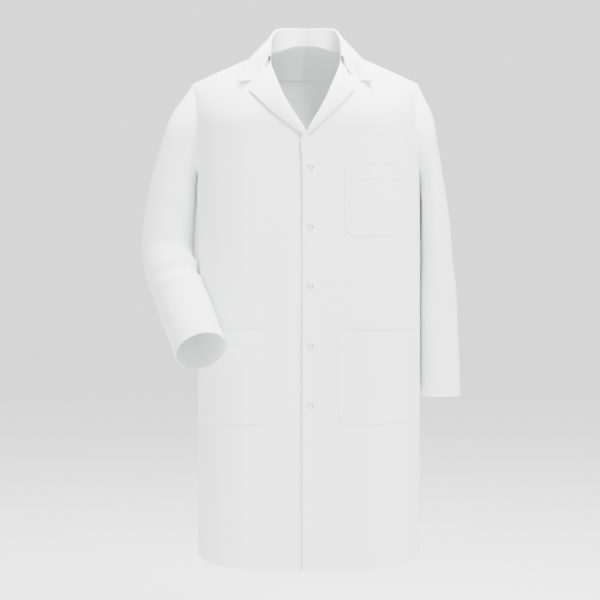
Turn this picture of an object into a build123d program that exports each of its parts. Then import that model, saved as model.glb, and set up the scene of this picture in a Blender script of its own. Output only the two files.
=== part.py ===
"""Knee-length lab coat with notched lapels, three pockets and five snaps, in millimetres.

+Z is up, -Y is the front and +X is the wearer's left. The origin is the centre of the neck
opening at the height of the back neck seam. The cloth is drawn thicker than it is.
"""
import os
from math import acos, cos, pi, sin, sqrt

from build123d import *

# body section: a rounded rectangle, measured along its edge from the centre line
HALF_WIDTH = 224.0
HALF_DEPTH = 140.0
CORNER = 120.0
FLAT = HALF_WIDTH - CORNER
SIDE = HALF_DEPTH - CORNER
ARC_END = FLAT + CORNER * pi / 2
SEAM = ARC_END + SIDE
CLOTH = 1.2
LINING = 1.0

# heights, from the back neck seam down
HEM_Z = -1056.0
HEM_RISE = 14.0
UNDERARM_Z = -285.0
FLAP_TOP_Z = -232.0
BREAK_Z = -215.0
TIP_X = 230.0
NECK_X = 75.0
SHOULDER_DROP = 96.0
NECK_Y = 8.0
FRONT_BEND_Z = -190.0
BACK_BEND_Z = -150.0

# armhole, an oval standing beside the shoulder
ARM_DEPTH = 62.0
TIP_S = 275.0

# front edges, hinge lines and the step where one front lies under the other
LEFT_EDGE = -12.0
RIGHT_EDGE = -25.0
LEFT_HINGE = 238.0
RIGHT_HINGE = 128.0
UNDERLAP = 6.0
FACING_WIDTH = 62.0

RIGHT_POCKET = (72.0, 250.0, -590.0, -769.0)

# snaps
SNAP_X = 3.0
SNAP_TOP_Z = -273.2
SNAP_PITCH = 115.4
SNAP_COUNT = 5
RING_R = 5.8
RING_HOLE_R = 4.0
SOCKET_HOLE_R = 2.8
KNOB_R = 1.7

# sleeves
ELBOW_Z = -430.0
LEFT_ELBOW = (264.5, 7.0, ELBOW_Z)
RIGHT_ELBOW = (-287.0, 5.0, ELBOW_Z)
RIGHT_CUFF = (-204.0, -176.0, -627.0)
ELBOW_HALF = 70.0
CUFF_HEM = 28.0


def section(s, out=0.0):
    """Half width and half depth of the body at the distance s round from the centre line.

    out moves the point off the cloth, square to it.
    """
    a = abs(s)
    if a <= FLAT:
        x, d = a, HALF_DEPTH + out
    elif a <= ARC_END:
        turn = (a - FLAT) / CORNER
        x, d = FLAT + (CORNER + out) * sin(turn), SIDE + (CORNER + out) * cos(turn)
    else:
        x, d = HALF_WIDTH + out, max(SEAM - a, 0.0)
    return (x if s >= 0 else -x), d


def shoulder_z(x):
    """Height of the shoulder seam above the point x."""
    return -SHOULDER_DROP * (abs(x) - NECK_X) / (TIP_X - NECK_X)


def cloth_point(s, z, side, face, out=0.0, under=0.0):
    """Point of the body's cloth: side is +1 on the wearer's left, face is -1 at the front.

    out lifts the point off the cloth, under sinks the front where it runs below the other.
    """
    x, d = section(s, out)
    step = min(max((42.0 - s) / 30.0, 0.0), 1.0)
    d -= under * step * step * (3.0 - 2.0 * step)
    bend = FRONT_BEND_Z if face < 0 else BACK_BEND_Z
    rise = min(max((z - bend) / (shoulder_z(x) - bend), 0.0), 1.0)
    keep = (1.0 - rise ** 1.7) ** 0.85
    seam_y = NECK_Y * (1.0 - (abs(x) - NECK_X) / (TIP_X - NECK_X))
    y = seam_y * (1.0 - keep) + face * d * keep + face * out * (1.0 - keep)
    return (side * x * (1.0 + 0.027 * rise), y, z)


def armhole(v):
    """Armhole edge from the underarm (0) up to the shoulder tip (1), as (s, z)."""
    top = shoulder_z(section(TIP_S)[0])
    mid, half = (top + UNDERARM_Z) / 2, (top - UNDERARM_Z) / 2
    turn = pi * (1.0 - v)
    depth = ARM_DEPTH * sin(turn)
    waist = FLAT + CORNER * acos((ARM_DEPTH - SIDE) / CORNER)
    if v > 0.5:
        return waist + (TIP_S - waist) * (1.0 - sin(turn)), mid + half * cos(turn)
    if depth <= SIDE:
        return SEAM - depth, mid + half * cos(turn)
    return FLAT + CORNER * acos((depth - SIDE) / CORNER), mid + half * cos(turn)


def curve(points):
    """Function of 0 to 1 that runs smoothly through the points at an even pace."""
    steps = [0.0]
    for p, q in zip(points, points[1:]):
        steps.append(steps[-1] + sqrt(sum((b - a) ** 2 for a, b in zip(p, q))))

    def slope(k):
        first, last = max(k - 1, 0), min(k + 1, len(points) - 1)
        span = steps[last] - steps[first]
        return [(q - p) / span for p, q in zip(points[first], points[last])]

    def walk(t):
        at = t * steps[-1]
        k = max(i for i in range(len(points) - 1) if steps[i] <= at or i == 0)
        width = steps[k + 1] - steps[k]
        h = (at - steps[k]) / width
        weights = (1 - h * h * (3 - 2 * h), h * h * (3 - 2 * h))
        pulls = (h * (1 - h) ** 2 * width, h * h * (h - 1) * width)
        return tuple(weights[0] * p + weights[1] * q + pulls[0] * m + pulls[1] * n for p, q, m, n
                     in zip(points[k], points[k + 1], slope(k), slope(k + 1)))

    return walk


def coons(bottom, right, top, left, nu, nv):
    """Grid of (s, z) filled in between four edges."""
    rows = []
    for j in range(nv + 1):
        v = j / nv
        row = []
        for i in range(nu + 1):
            u = i / nu
            b, t, le, ri = bottom(u), top(u), left(v), right(v)
            corners = (bottom(0), bottom(1), top(0), top(1))
            weights = ((1 - u) * (1 - v), u * (1 - v), (1 - u) * v, u * v)
            row.append(tuple(
                (1 - v) * b[k] + v * t[k] + (1 - u) * le[k] + u * ri[k]
                - sum(w * c[k] for w, c in zip(weights, corners))
                for k in range(2)))
        rows.append(row)
    return rows


def normals(rows, outward):
    """Unit normals of a grid of points, on the side that outward points to."""
    found = []
    total = 0.0
    for j, row in enumerate(rows):
        line = []
        for i in range(len(row)):
            a, b = rows[max(j - 1, 0)][i], rows[min(j + 1, len(rows) - 1)][i]
            c, d = row[max(i - 1, 0)], row[min(i + 1, len(row) - 1)]
            normal = (Vector(*d) - Vector(*c)).cross(Vector(*b) - Vector(*a)).normalized()
            total += normal.dot(Vector(*outward))
            line.append(normal)
        found.append(line)
    sign = 1 if total > 0 else -1
    return [[sign * n for n in line] for line in found]


def shifted(rows, distance, outward):
    """Grid of points moved along its normals."""
    return [[tuple(Vector(*p) + distance * n) for p, n in zip(row, line)]
            for row, line in zip(rows, normals(rows, outward))]


def sheet(points, thickness, outward):
    """Closed sheet of cloth under a grid of points, thickened away from outward."""
    grids = [points, shifted(points, -thickness, outward)]
    skins = [Face.make_surface_from_array_of_points(
        [[Vector(*p) for p in row] for row in grid], tol=0.02, min_deg=3) for grid in grids]
    walls = []
    for edge in skins[0].edges():
        mate = min(skins[1].edges(), key=lambda e: (e.center() - edge.center()).length)
        walls.append(Face.make_surface_from_curves(edge, mate))
    solid = Solid(Shell(skins + walls)).fix()
    return solid if solid.volume > 0 else -solid


def front_top(side, edge, under):
    """Upper front: from the roll line to the armhole and from the flap up to the shoulder."""
    def flap_line(u):
        s = edge + u * (SEAM - edge)
        return s, FLAP_TOP_Z + (UNDERARM_Z - FLAP_TOP_Z) * (max(s, 0) / SEAM) ** 2

    roll = curve([(edge, FLAP_TOP_Z), (edge + 2, BREAK_Z), (20, -178), (44, -143),
                     (62, -105), (71, -66), (75, -30), (NECK_X, 0)])
    shoulder = curve([(NECK_X, 0.0), (TIP_S, shoulder_z(section(TIP_S)[0]))])

    def top(u):
        s = shoulder(u)[0]
        return s, shoulder_z(section(s)[0])

    grid = coons(flap_line, armhole, top, roll, 22, 14)
    points = [[cloth_point(s, z, side, -1, 0.0, under) for s, z in row] for row in grid]
    return sheet(points, CLOTH, (0, -1, 0.2))


def skirt(side, face, s0, s1, under=0.0, inset=0.0, thickness=CLOTH):
    """Front panel below the chest, from s0 round to s1, inset below the outer face."""
    columns = 24
    rows = 8
    points = []
    for j in range(rows + 1):
        row = []
        for i in range(columns + 1):
            s = s0 + (s1 - s0) * i / columns
            x = section(s)[0]
            low = HEM_Z + HEM_RISE * (x / HALF_WIDTH) ** 2
            high = FLAP_TOP_Z - 0.4 + (UNDERARM_Z - FLAP_TOP_Z) * (max(s, 0) / SEAM) ** 2
            z = low + (high - low) * j / rows
            row.append(cloth_point(s, z, side, face, -inset, under))
        points.append(row)
    return sheet(points, thickness, (side * 0.3, face, 0))


def back_panel(side):
    """Half of the back, from the centre seam to the side seam and armhole."""
    edge = 0.6
    hem = curve([(edge, 0.0), (SEAM - 0.3, 0.0)])

    def low(u):
        s = hem(u)[0]
        return s, HEM_Z + HEM_RISE * (section(s)[0] / HALF_WIDTH) ** 2

    def outer(v):
        split = 0.55
        if v < split:
            z0 = HEM_Z + HEM_RISE
            return SEAM - 0.3, z0 + (UNDERARM_Z - z0) * v / split
        s, z = armhole((v - split) / (1 - split))
        return min(s, SEAM - 0.3), z

    def inner(v):
        split = 0.55
        if v < split:
            return edge, HEM_Z + (UNDERARM_Z - HEM_Z) * v / split
        return edge, UNDERARM_Z + (0.0 - UNDERARM_Z) * (v - split) / (1 - split)

    top_line = curve([(edge, 0.0), (NECK_X, 0.0), (TIP_S, 0.0)])

    def top(u):
        s = top_line(u)[0]
        fall = -shoulder_z(section(s)[0])
        return s, -(fall + sqrt(fall * fall + 64.0)) / 2 - 0.3

    grid = coons(low, outer, top, inner, 16, 26)
    points = [[cloth_point(s, z, side, 1) for s, z in row] for row in grid]
    return sheet(points, CLOTH, (side * 0.2, 1, 0.2))


def lapel(side, under):
    """Turned-back lapel lying over the upper front, between the break and the gorge seam."""
    roll = curve([(-4, BREAK_Z + 2), (20, -178), (44, -143), (62, -105), (71, -66)])
    outer = curve([(-6, BREAK_Z - 6), (48, -172), (102, -118)])
    points = []
    for j in range(9):
        a, b = roll(j / 8), outer(j / 8)
        loose = min(3 * j / 8, 1.0)
        row = []
        for i in range(9):
            u = i / 8
            s, z = (a[0] + u * (b[0] - a[0]), a[1] + u * (b[1] - a[1]))
            lift = 2.7 + loose * (1.0 + 2.6 * sin(pi * u))
            row.append(cloth_point(s, z, side, -1, lift, under))
        points.append(row)
    return sheet(points, 1.4 * CLOTH, (0, -1, 0.2))


def collar_rows(count):
    """Points from the neck seam over the fold to the free edge, round the whole neck."""
    seam = curve([(0, 66, 4), (45, 51, 4), (73, 12, 4), (76, -38, -26), (73, -86, -62)])
    fold = curve([(0, 64, 42), (44, 49, 39), (70, 13, 25), (76, -38, -14), (75, -92, -57)])
    free = curve([(0, 88, -5), (60, 68, -11), (107, 34, -17), (126, -20, -29),
                  (133, -65, -60), (128, -111, -97)])
    rows = []
    for k in range(-count, count + 1):
        t = abs(k) / count
        mirror = 1 if k >= 0 else -1
        a, b, c = seam(t), fold(t), free(t)
        row = []
        for share in (0.0, 0.35, 0.7, 0.92):
            row.append([p + share * (q - p) for p, q in zip(a, b)])
        out = [q - p for p, q in zip(b, c)]
        length = sqrt(out[0] ** 2 + out[1] ** 2)
        crest = [b[0] + 3.2 * out[0] / length, b[1] + 3.2 * out[1] / length, b[2] + 1.6]
        row.append(crest)
        for share in (0.14, 0.35, 0.6, 0.8, 1.0):
            bow = 3.0 * sin(pi * share)
            row.append([b[0] + share * out[0] + bow * out[0] / length,
                        b[1] + share * out[1] + bow * out[1] / length,
                        b[2] + share * out[2] + bow])
        rows.append([(mirror * p[0], p[1], p[2]) for p in row])
    return rows


def back_neck_facing():
    """Band inside the back neck, from shoulder seam to shoulder seam."""
    points = []
    for j in range(6):
        row = []
        for i in range(17):
            s = -50 + 100 * i / 16
            row.append(cloth_point(abs(s), -26.0 - 40.0 * j / 5, 1 if s >= 0 else -1, 1))
        points.append(row)
    outward = (0, 1, 0.2)
    return sheet(shifted(points, -CLOTH - 3.0, outward), LINING, outward)


def pocket(side, s0, s1, top_z, bottom_z, clip, under, room, part=(0.0, 1.0), flatten=0.0):
    """Patch pocket sewn round three edges and open at the top, standing off by its room.

    part is the share of its width that is made, for a pocket that crosses a hinge line, and
    flatten presses its far side, which the bent sleeve lies over.
    """
    points = []
    for j in range(15):
        v = j / 14
        rise = min(3 * v, 1.0)
        row = []
        for i in range(21):
            u = part[0] + (part[1] - part[0]) * i / 20
            cut = max(clip - v * (top_z - bottom_z), 0.0) * 0.5
            s = s0 + (s1 - s0) * u
            if part == (0.0, 1.0):
                s = s0 + cut + (s1 - s0 - 2 * cut) * u
            z = bottom_z + (top_z - bottom_z) * v
            lift = sin(pi * u) * rise * rise * (3 - 2 * rise) * (1 - flatten * u)
            row.append(cloth_point(s, z, side, -1, CLOTH + 0.9 + room * lift, under))
        points.append(row)
    return sheet(points, CLOTH, (side * 0.3, -1, 0))


def ring(centre, out, front, r_out, r_front):
    """Oval wire round centre with its two half axes along out and front."""
    x_dir = Vector(*out).normalized()
    normal = x_dir.cross(Vector(*front)).normalized()
    return Wire([Edge.make_ellipse(r_out, r_front, Plane(Vector(*centre), x_dir, normal))])


def tube(rings, inset=0.0, thickness=CLOTH):
    """Open tube through oval rings given as (centre, out, front, r_out, r_front)."""
    def body(less):
        wires = [ring(c, o, f, a - less, b - less) for c, o, f, a, b in rings]
        return Solid.make_loft(wires, ruled=True)

    return body(inset) - body(inset + thickness)


def between(first, second, share):
    """Ring part of the way from one ring to another."""
    def mix(p, q):
        return tuple(a + share * (b - a) for a, b in zip(p, q))

    return (mix(first[0], second[0]), mix(first[1], second[1]), mix(first[2], second[2]),
            first[3] + share * (second[3] - first[3]), first[4] + share * (second[4] - first[4]))


def armhole_ring(side):
    """Oval where the sleeve is set in."""
    return ((side * 230.5, 0, -190), (0, 0, 1), (0, -1, 0), 96, 60)


def left_sleeve_rings():
    """Rings of the hanging sleeve: armhole, underarm, above and below the elbow, cuff."""
    tilted = ((248, 3, -254), (38, 0, 92), (0, -1, 0), 49.8, 62)
    upper = ((261.5, 5, ELBOW_Z + ELBOW_HALF), (1, 0, 0), (0, -1, 0), 33.5, 63)
    lower = ((266.5, 8, ELBOW_Z - ELBOW_HALF), (1, 0, 0), (0, -1, 0), 37.5, 61)
    cuff = ((271, 10, -722), (1, 0, 0), (0, -1, 0), 42, 56)
    return armhole_ring(1), tilted, upper, lower, cuff


def right_sleeve_rings():
    """Rings of the bent sleeve, whose lower part reaches forward and inward."""
    run = [b - a for a, b in zip(RIGHT_ELBOW, RIGHT_CUFF)]
    length = sqrt(sum(c * c for c in run))
    run = [c / length for c in run]
    flat = sqrt(run[0] ** 2 + run[1] ** 2)
    out = (run[1] / flat, -run[0] / flat, 0.0)
    front = tuple(Vector(*out).cross(Vector(*run)))

    def at(distance, aside, ahead, r_out, r_front):
        x, y, z = (e + distance * c for e, c in zip(RIGHT_ELBOW, run))
        return ((x - aside, y - ahead, z), out, front, r_out, r_front)

    tilted = ((-262.5, 3, -252), (-66, 0, 96), (0, -1, 0), 58.2, 62)
    upper = ((-280.5, 4, ELBOW_Z + ELBOW_HALF), (-1, 0, -0.15), (0, -1, 0), 52.5, 59)
    bend = (RIGHT_ELBOW, (-1, -0.1, 0.05), (0.1, -0.94, 0.33), 53.5, 57)
    return (armhole_ring(-1), tilted, upper, bend, at(ELBOW_HALF, 4, 16, 47, 57),
            at(140, 6, 30, 45, 57), at(210, 3, 17, 47, 55), at(length, 0, 2, 47, 52))


def disc(x, y0, y1, z, radius, hole=0.0):
    """Round plate whose axis runs front to back, from y0 to y1."""
    plane = Plane(origin=(x, y1, z), x_dir=(1, 0, 0), z_dir=(0, -1, 0))
    shape = Circle(radius) - Circle(hole) if hole else Circle(radius)
    return extrude(plane * shape, y1 - y0)


def snap_heights():
    """Heights of the snaps, from the top one down."""
    return [SNAP_TOP_Z - SNAP_PITCH * k for k in range(SNAP_COUNT)]


def snap_set(maker):
    """One solid per snap."""
    return [maker(z) for z in snap_heights()]


def snap_parts():
    """The four pieces of every snap: outer ring, socket, stud and inner ring."""
    front = -HALF_DEPTH
    inside = front + CLOTH + 0.3 + LINING
    under = front + UNDERLAP
    under_inside = under + CLOTH + 0.3 + LINING

    def outer(z):
        return disc(SNAP_X, front - 1.3, front - 0.1, z, RING_R, RING_HOLE_R)

    def socket(z):
        return disc(SNAP_X, inside + 0.1, inside + 1.9, z, RING_R - 0.5, SOCKET_HOLE_R)

    def stud(z):
        base = disc(SNAP_X, under - 1.1, under - 0.3, z, RING_R - 0.5)
        knob = disc(SNAP_X, under - 2.4, under - 0.6, z, KNOB_R)
        return (base + knob).solids()[0]

    def inner(z):
        return disc(SNAP_X, under_inside + 0.3, under_inside + 1.5, z, RING_R, RING_HOLE_R)

    return {"snap_outer_rings": snap_set(outer), "snap_sockets": snap_set(socket),
            "snap_studs": snap_set(stud), "snap_inner_rings": snap_set(inner)}


def sleeve_parts():
    """Both sleeves: set-in head, upper part, elbow, lower part and the turned cuff hem."""
    head, tilted, upper, lower, cuff = left_sleeve_rings()
    parts = {
        "left_sleeve_head": tube([head, tilted]),
        "left_sleeve_upper": tube([between(tilted, upper, 0.01), upper]),
        "left_sleeve_elbow": tube([between(upper, lower, 0.01), between(upper, lower, 0.99)]),
        "left_sleeve_lower": tube([lower, cuff]),
        "left_cuff_hem": tube([between(lower, cuff, 1 - CUFF_HEM / 222), cuff],
                              CLOTH + 0.4, LINING),
    }
    head, tilted, upper, bend, low, mid, near, cuff = right_sleeve_rings()
    parts.update({
        "right_sleeve_head": tube([head, tilted]),
        "right_sleeve_upper": tube([between(tilted, upper, 0.01), upper]),
        "right_sleeve_elbow": tube([between(upper, bend, 0.02), bend, between(bend, low, 0.98)]),
        "right_sleeve_lower": tube([low, mid, near, cuff]),
        "right_cuff_hem": tube([between(near, cuff, 1 - CUFF_HEM / 70), cuff],
                               CLOTH + 0.4, LINING),
    })
    return parts


def body_parts():
    """Back, fronts, facings, lapels and pockets."""
    depth = CLOTH + 0.3
    share = (RIGHT_HINGE - RIGHT_POCKET[0]) / (RIGHT_POCKET[1] - RIGHT_POCKET[0])
    return {
        "left_back": back_panel(1),
        "right_back": back_panel(-1),
        "left_front_top": front_top(1, LEFT_EDGE, 0.0),
        "right_front_top": front_top(-1, RIGHT_EDGE, UNDERLAP),
        "left_front_side": skirt(1, -1, LEFT_HINGE + 0.6, SEAM - 2.2),
        "right_front_side": skirt(-1, -1, RIGHT_HINGE + 0.6, SEAM - 2.2),
        "left_front": skirt(1, -1, LEFT_EDGE, LEFT_HINGE),
        "right_front": skirt(-1, -1, RIGHT_EDGE, RIGHT_HINGE, UNDERLAP),
        "left_front_facing": skirt(1, -1, LEFT_EDGE, FACING_WIDTH, 0.0, depth, LINING),
        "right_front_facing": skirt(-1, -1, RIGHT_EDGE, FACING_WIDTH, UNDERLAP, depth, LINING),
        "left_lapel": lapel(1, 0.0),
        "right_lapel": lapel(-1, UNDERLAP),
        "back_neck_facing": back_neck_facing(),
        "chest_pocket": pocket(1, 70, 176, -270.7, -406, 12, 0.0, 6.0),
        "left_pocket": pocket(1, 57, 235, -592, -769, 24, 0.0, 9.0),
        "right_pocket": pocket(-1, *RIGHT_POCKET, 0, UNDERLAP, 9.0, (0.0, share), 0.65),
        "right_pocket_side": pocket(-1, *RIGHT_POCKET, 0, UNDERLAP, 9.0,
                                    (share + 0.006, 1.0), 0.65),
    }


def collar_parts():
    """Upper collar, and under collar below the part that is turned down."""
    rows = collar_rows(14)
    under = shifted([row[6:] for row in rows], -2.9, (0, 0.2, 1))
    return {"upper_collar": sheet(rows, CLOTH, (0, 0.2, 1)),
            "under_collar": sheet(under, CLOTH, (0, 0.2, 1))}


def main():
    os.makedirs("parts", exist_ok=True)
    parts = body_parts()
    parts.update(collar_parts())
    parts.update(sleeve_parts())
    parts.update(snap_parts())
    for name, shape in parts.items():
        if isinstance(shape, list):
            shape = Compound(children=shape)
        export_step(shape, f"parts/{name}.step")


main()
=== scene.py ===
"""Lab coat: knee-length white coat with notched lapels, three patch pockets and five snaps.

Every piece of cloth is a closed sheet over a formula, in millimetres in the row frame: +Z is
up, -Y is the front, +X is the wearer's left and the origin is the centre of the neck.
"""
from collections import namedtuple

import bpy
import numpy as np
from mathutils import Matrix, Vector


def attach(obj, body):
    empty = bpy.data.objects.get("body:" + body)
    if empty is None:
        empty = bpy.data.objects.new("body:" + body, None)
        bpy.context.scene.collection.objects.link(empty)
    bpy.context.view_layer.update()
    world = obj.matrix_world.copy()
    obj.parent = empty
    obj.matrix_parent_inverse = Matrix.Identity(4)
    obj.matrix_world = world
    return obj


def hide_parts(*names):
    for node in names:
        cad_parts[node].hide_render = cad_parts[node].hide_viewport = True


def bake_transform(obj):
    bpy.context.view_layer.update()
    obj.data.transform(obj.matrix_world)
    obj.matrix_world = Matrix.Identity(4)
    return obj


bl_info = {
    "name": "Lab coat",
    "version": (1, 0, 0),
    "blender": (4, 5, 0),
    "location": "View3D > Sidebar > Lab coat",
    "description": "Builds a knee-length lab coat piece by piece",
    "category": "Object",
}

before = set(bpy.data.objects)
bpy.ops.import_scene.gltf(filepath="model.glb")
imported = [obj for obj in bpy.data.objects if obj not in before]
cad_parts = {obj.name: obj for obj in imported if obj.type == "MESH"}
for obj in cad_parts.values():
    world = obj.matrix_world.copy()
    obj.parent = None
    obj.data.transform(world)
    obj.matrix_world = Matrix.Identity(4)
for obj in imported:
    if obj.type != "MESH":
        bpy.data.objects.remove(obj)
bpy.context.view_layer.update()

MM = 0.001

# A quarter of the body's section: a flat, a round corner and a short side up to the seam
FLAT = 104.0
CORNER = 120.0
SIDE = 20.0
ARC_END = FLAT + CORNER * np.pi / 2
SEAM = ARC_END + SIDE

# Heights of the body, and the neck and shoulder points its upper edges run through
HEM_Z = -1056.0
HEM_RISE = 14.0
SPLIT_Z = -580.0
UNDERARM_Z = -285.0
NECK_BACK_Z = 0.5
NECK_SIDE_Z = -18.6
NECK_X = 75.0
TIP_X = 230.0
TIP_S = 275.0
ARM_DEPTH = 62.0

# Sewn work: thickness of the outer cloth and of the facings, and where the meshes start
CLOTH = 0.9
LINING = 0.8
CENTRE_S = 0.5
HEM_STITCH = 25.0

# Roll line of the lapels as (across, height); its fifth point is kept as ROLL_STILL for the hinge
# figures
ROLL = [(-6, -216), (4, -200), (36, -145), (50, -112), (66, -66), (70, -42), (72, -28)]
ROLL_START = -212
ROLL_STILL = ROLL[4]
LAPEL_TOP = (71, -27)

# Values of each side, +1 being the wearer's left
SIDE_NAME = {1: "left", -1: "right"}
LAPEL_TIP = {1: (96.0, -116.0), -1: (110.0, -118.0)}
NOTCH = {1: (84.0, -98.0), -1: (92.0, -93.0)}
FRONT_EDGE = {1: -12.0, -1: -25.0}
FRONT_UNDER = {1: 0.0, -1: 6.0}
HINGE_X = {1: 212.0, -1: 128.0}
HINGE_RUN = {1: 150.0, -1: 60.0}
HINGE_Y = -100.0


def smooth(t):
    """0 below 0, 1 above 1 and an even S between."""
    t = np.clip(t, 0.0, 1.0)
    return t * t * (3.0 - 2.0 * t)


def bump(t, centre, width):
    """A rounded hill of height 1 and the given half width round centre."""
    return np.exp(-((t - centre) / width) ** 2)


def curve(points, t):
    """Points at the shares t of the way along a smooth curve through the given points."""
    p = np.array(points, float)
    run = np.concatenate([[0.0], np.cumsum(np.linalg.norm(np.diff(p, axis=0), axis=1))])
    slope = np.empty_like(p)
    slope[1:-1] = (p[2:] - p[:-2]) / (run[2:] - run[:-2])[:, None]
    slope[0] = (p[1] - p[0]) / (run[1] - run[0])
    slope[-1] = (p[-1] - p[-2]) / (run[-1] - run[-2])
    at = np.asarray(t, float) * run[-1]
    k = np.clip(np.searchsorted(run, at, side="right") - 1, 0, len(p) - 2)
    width = (run[k + 1] - run[k])[..., None]
    h = (at - run[k])[..., None] / width
    step = h * h * (3.0 - 2.0 * h)
    return ((1.0 - step) * p[k] + step * p[k + 1] + h * (1.0 - h) ** 2 * width * slope[k]
            + h * h * (h - 1.0) * width * slope[k + 1])


def unit(v):
    """Vectors scaled to length 1."""
    return v / np.maximum(np.linalg.norm(v, axis=-1, keepdims=True), 1e-9)


def stack(*parts):
    """Coordinate arrays side by side, broadcast to one shape."""
    return np.stack(np.broadcast_arrays(*parts), axis=-1)


# ---- the body's cloth ----

def section(s, out=0.0):
    """Half width and half depth of the body at the distance s round from the centre line."""
    a = np.abs(s)
    turn = np.clip((a - FLAT) / CORNER, 0.0, np.pi / 2)
    x = np.minimum(a, FLAT) + (CORNER + out) * np.sin(turn)
    d = SIDE + (CORNER + out) * np.cos(turn) - np.clip(a - ARC_END, 0.0, None)
    return np.sign(s) * x, d


def shoulder_z(x):
    """Height of the shoulder seam above the point x."""
    out = np.abs(x) - NECK_X
    return (-22.0 - 0.39 * out - 0.00045 * out ** 2
            + 0.23 * (np.sqrt(out * out + 225.0) - out))


def folds(s, z, side, face):
    """Soft folds of the hanging cloth, in millimetres off the cloth; they deepen to the hem."""
    low = smooth((-330.0 - z) / 700.0)
    phase = 0.9 * side + 1.7 * face
    wave = (np.sin(s / 27.0 + phase + z / 420.0) * 1.3
            + np.sin(s / 14.5 - 1.1 * phase - z / 260.0) * 0.45)
    waist = 1.4 * np.sin(s / 33.0 + 2.0 * phase) * bump(z, -470.0, 170.0)
    chest = (1.5 * bump(s + 0.55 * (z + 290.0), 205.0, 22.0)
             - 1.3 * bump(s + 0.55 * (z + 290.0), 168.0, 20.0)) * bump(z, -280.0, 80.0)
    shoulder = 0.9 * np.sin((s * 0.9 + z) / 19.0) * bump(z, -120.0, 60.0) * smooth((s - 90) / 60)
    ends = smooth((SEAM - np.abs(s)) / 40.0)
    edge = 1.8 * smooth((10.0 - s) / 16.0) if side > 0 and face < 0 else 0.0
    return (wave * low + waist + chest + shoulder) * ends + edge


def cloth(s, z, side, face, out=0.0, under=0.0):
    """Points of the body's cloth, s round from the centre line and z up.

    side is +1 on the wearer's left, face is -1 at the front, out lifts the points off the
    cloth and under sinks the front edge that runs below the other.
    """
    s, z = np.broadcast_arrays(np.asarray(s, float), np.asarray(z, float))
    out = out + folds(s, z, side, face)
    x, d = section(s, out)
    d = d - under * smooth((42.0 - s) / 30.0)
    bend = np.where(face < 0, -190.0, -150.0)
    rise = np.clip((z - bend) / (shoulder_z(x) - bend), 0.0, 1.0)
    keep = (1.0 - rise ** 1.7) ** 0.85
    seam_y = 8.0 * (1.0 - (np.abs(x) - NECK_X) / (TIP_X - NECK_X))
    y = seam_y * (1.0 - keep) + face * d * keep + face * out * (1.0 - keep)
    x = side * x * (1.0 + 0.027 * rise) + 2.0 - 6.0 * smooth((z + 290.0) / 180.0)
    return stack(x, y, z)


def cloth_normal(s, z, side, face, under=0.0):
    """Outward unit normals of the body's cloth."""
    h = 1.5
    a = cloth(s + h, z, side, face, 0.0, under) - cloth(s - h, z, side, face, 0.0, under)
    b = cloth(s, z, side, face, 0.0, under) - cloth(s, z - h, side, face, 0.0, under)
    return unit(np.cross(a, b)) * (-side * face)


def armhole(turn):
    """Armhole edge as (s, z), turn running from the shoulder tip to the underarm."""
    top = shoulder_z(section(TIP_S)[0])
    mid, half = (top + UNDERARM_Z) / 2, (top - UNDERARM_Z) / 2
    depth = ARM_DEPTH * np.sin(turn)
    waist = FLAT + CORNER * np.arccos((ARM_DEPTH - SIDE) / CORNER)
    upper = waist + (TIP_S - waist) * (1.0 - np.sin(turn))
    lower = np.where(depth <= SIDE, SEAM - depth,
                     FLAT + CORNER * np.arccos(np.clip((depth - SIDE) / CORNER, -1, 1)))
    return np.stack([np.where(turn < np.pi / 2, upper, lower), mid + half * np.cos(turn)], -1)


def neck_top(s):
    """Upper edge of the back: the neck seam, then the shoulder seam."""
    across = section(s)[0]
    neck = np.interp(across, [0, 15, 30, 42, 52, 60, 68, NECK_X],
                     [NECK_BACK_Z, -0.8, -5.0, -10.5, -15, -18, -19.8, NECK_SIDE_Z])
    return np.where(across < NECK_X, neck, shoulder_z(across))


def hem_z(s):
    """Height of the hem, a little higher at the sides."""
    return HEM_Z + HEM_RISE * (section(s)[0] / (FLAT + CORNER)) ** 2


def even(n, near=0.0):
    """n + 1 shares from 0 to 1, crowded to both ends by near."""
    t = np.linspace(0.0, 1.0, n + 1)
    return (1.0 - near) * t + near * (1.0 - np.cos(np.pi * t)) / 2


def coons(bottom, right, top, left, u, v):
    """Grid of (s, z) filled in between four edges given at the shares u and v."""
    uu, vv = u[None, :, None], v[:, None, None]
    b, t, le, ri = bottom[None], top[None], left[:, None], right[:, None]
    corners = ((1 - uu) * (1 - vv) * bottom[0] + uu * (1 - vv) * bottom[-1]
               + (1 - uu) * vv * top[0] + uu * vv * top[-1])
    return (1 - vv) * b + vv * t + (1 - uu) * le + uu * ri - corners


# ---- meshes ----

def grid_faces(ids):
    """Quads over a grid of vertex numbers."""
    return np.stack([ids[:-1, :-1], ids[:-1, 1:], ids[1:, 1:], ids[1:, :-1]], -1).reshape(-1, 4)


def make_mesh(name, verts, quads, uv=None, normals=None, material=None):
    """Mesh object at the origin from arrays in millimetres."""
    mesh = bpy.data.meshes.new(name)
    mesh.vertices.add(len(verts))
    mesh.vertices.foreach_set("co", (verts * MM).astype(np.float32).ravel())
    mesh.loops.add(quads.size)
    mesh.loops.foreach_set("vertex_index", quads.ravel().astype(np.int32))
    mesh.polygons.add(len(quads))
    mesh.polygons.foreach_set("loop_start", np.arange(0, quads.size, 4, dtype=np.int32))
    mesh.update(calc_edges=True)
    mesh.validate()
    mesh.polygons.foreach_set("use_smooth", np.ones(len(mesh.polygons), bool))
    if uv is not None:
        layer = mesh.uv_layers.new(name="UVMap")
        layer.data.foreach_set("uv", (uv[quads.ravel()] * MM).astype(np.float32).ravel())
    if normals is not None:
        mesh.normals_split_custom_set_from_vertices(normals.astype(np.float32))
    obj = bpy.data.objects.new(name, mesh)
    bpy.context.scene.collection.objects.link(obj)
    if material:
        mesh.materials.append(material)
    return obj


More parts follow.
